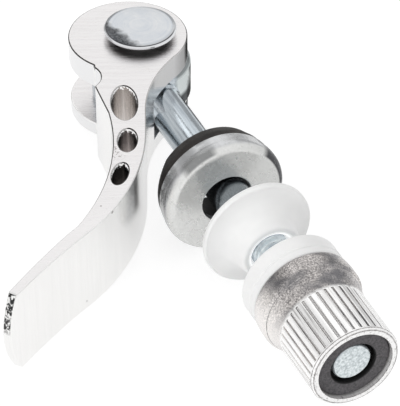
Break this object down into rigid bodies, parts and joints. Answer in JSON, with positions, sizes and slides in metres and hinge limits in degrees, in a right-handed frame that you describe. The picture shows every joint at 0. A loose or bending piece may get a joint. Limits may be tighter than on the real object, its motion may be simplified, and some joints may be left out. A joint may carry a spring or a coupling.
{
  "type": "seatpost clamp quick-release skewer",
  "caption": "Quick-release seatpost clamp skewer: forked cam lever riveted to an eye bolt, with cup washer, cam pad, flanged bush and knurled locking nut.",
  "frame": {"origin": "on the bolt's axis, in the plane of the cup washer's clamping face", "axes": "+X along the bolt towards the nut, +Z along the lever's pivot on the side of the rivet's large head, +Y square to both; the lever lies open on the -Y side"},
  "size_m": [0.0846, 0.0512, 0.0198],
  "materials": {
    "lever_alloy": "satin brushed",
    "bolt_zinc": "bright zinc plate",
    "rivet_zinc": "bright zinc plate, turned",
    "cup_steel": "satin",
    "pad_black": "moulded",
    "bush_nylon": "translucent nylon",
    "washer_nylon": "translucent nylon",
    "nut_alloy": "as cast, knurled",
    "ring_nylon": "dark nylon"
  },
  "bodies": {
    "bolt": {"eye_bolt": "bolt_zinc"},
    "lever": {"lever": "lever_alloy", "rivet": "rivet_zinc"},
    "cup": {"cup_washer": "cup_steel", "cam_pad": "pad_black"},
    "bush": {"flanged_bush": "bush_nylon"},
    "washer": {"nut_washer": "washer_nylon"},
    "nut": {"nut_body": "nut_alloy", "lock_ring": "ring_nylon"}
  },
  "joints": [
    {"name": "lever_swing", "type": "hinge", "parent": "bolt", "child": "lever", "pos_m": [-0.0342, 0, 0], "axis": [0, 0, 1], "range_deg": [-266, 0]},
    {"name": "cup_slide", "type": "slide", "parent": "bolt", "child": "cup", "axis": [1, 0, 0], "range_m": [0, 0.004]},
    {"name": "bush_slide", "type": "slide", "parent": "bolt", "child": "bush", "axis": [1, 0, 0], "range_m": [-0.0042, 0.0027]},
    {"name": "nut_travel", "type": "slide", "parent": "bolt", "child": "washer", "axis": [1, 0, 0], "range_m": [-0.0028, 0.002]},
    {"name": "nut_spin", "type": "hinge", "parent": "washer", "child": "nut", "pos_m": [0.024, 0, 0], "axis": [1, 0, 0], "range_deg": [-1008, 720]}
  ],
  "couplings": [
    {"joint": "nut_spin", "follows": "nut_travel", "rad_per_m": 6283.2}
  ]
}
